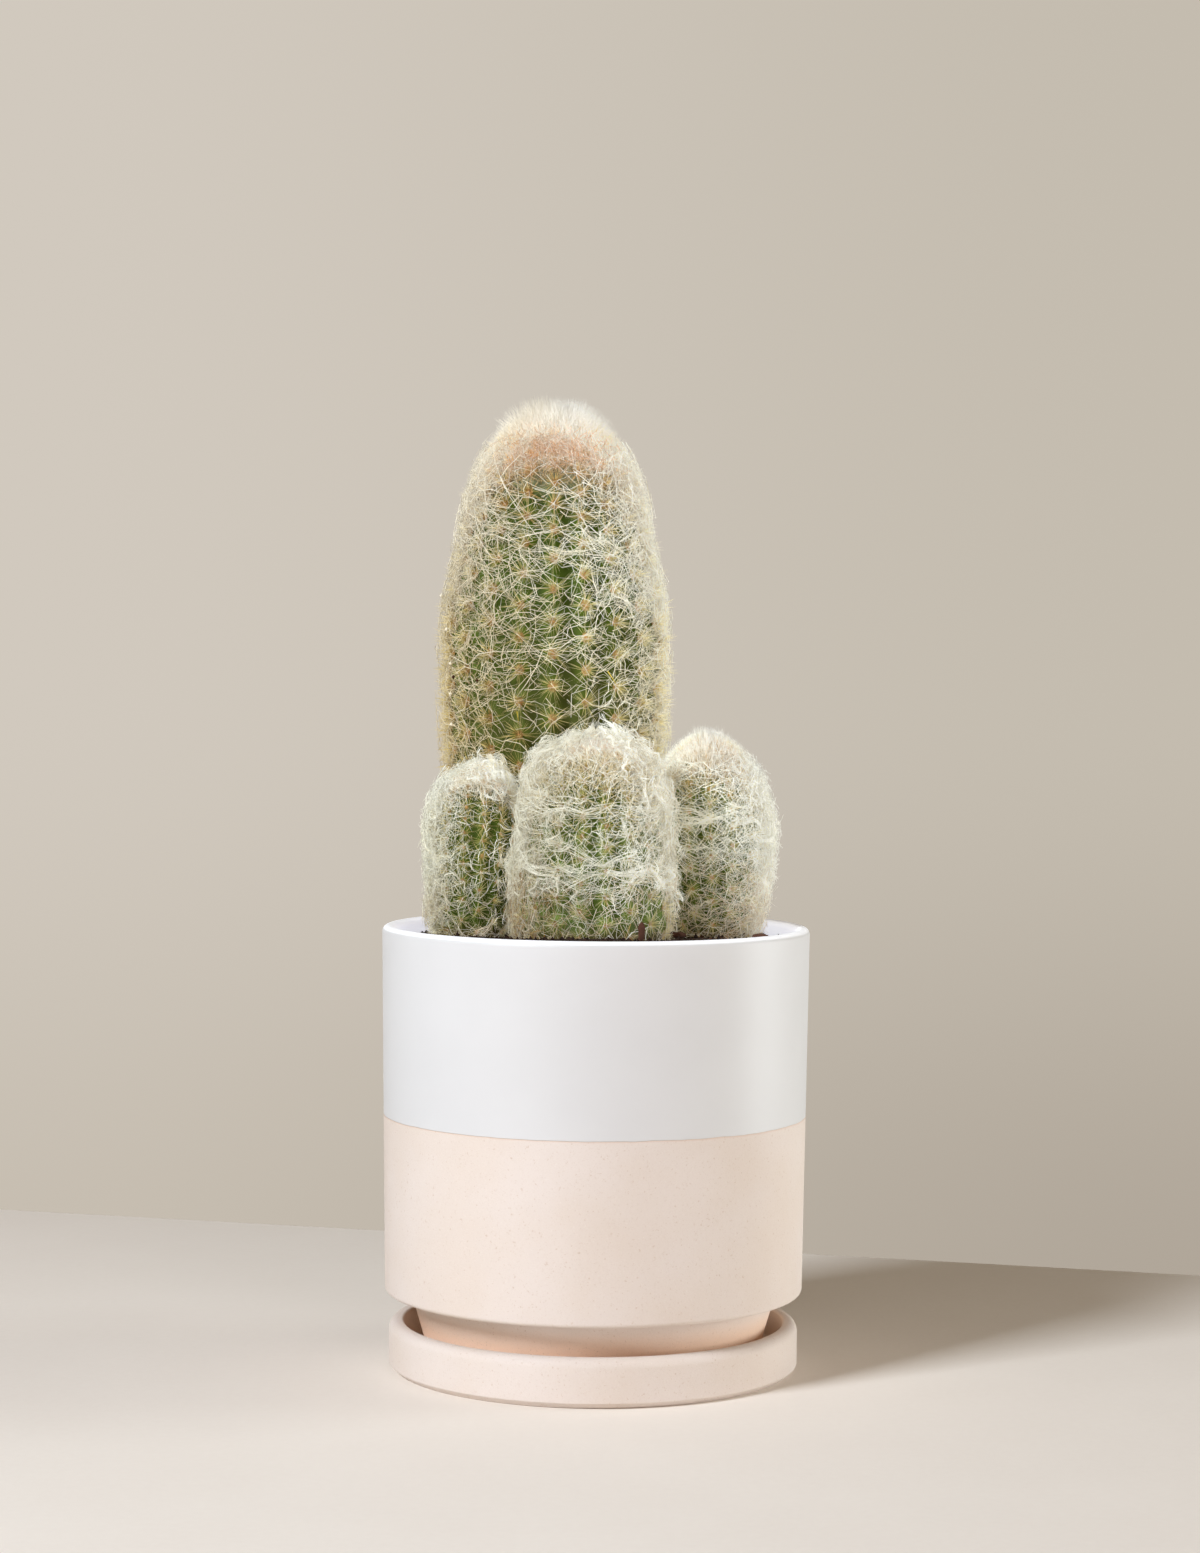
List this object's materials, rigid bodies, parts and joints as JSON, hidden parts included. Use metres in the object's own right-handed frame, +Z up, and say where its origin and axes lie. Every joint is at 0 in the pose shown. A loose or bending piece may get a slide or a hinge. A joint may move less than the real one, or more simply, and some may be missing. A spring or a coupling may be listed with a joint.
{
  "type": "potted cactus",
  "caption": "Woolly columnar cactus with a tall stem and shorter offsets around it, rooted in a two-tone cylindrical stoneware pot whose recessed foot stands in a round saucer.",
  "frame": {"origin": "on the pot's axis, at the surface that the saucer stands on", "axes": "+Z up; -Y is the front, where the widest offset stands; +X is to the right seen from the front, and the tall stem stands towards +Y"},
  "size_m": [0.127, 0.127, 0.2845],
  "materials": {
    "glazed_stoneware": "satin white glaze over the upper part, bare blush stoneware below it",
    "bare_stoneware": "matt blush stoneware with fine specks",
    "potting_soil": "loose dark peat and bark",
    "cactus_skin": "waxy green skin",
    "cactus_wool": "white wool and cream bristles",
    "bark": "rough reddish brown bark"
  },
  "bodies": {
    "root": {"saucer": "bare_stoneware", "pot": "glazed_stoneware", "potting_soil": "potting_soil", "tall_stem": "cactus_skin", "front_stem": "cactus_skin", "right_stem": "cactus_skin", "left_stem": "cactus_skin", "bark_chip_front": "bark", "bark_chip_middle": "bark", "bark_chip_right": "bark"}
  },
  "joints": []
}
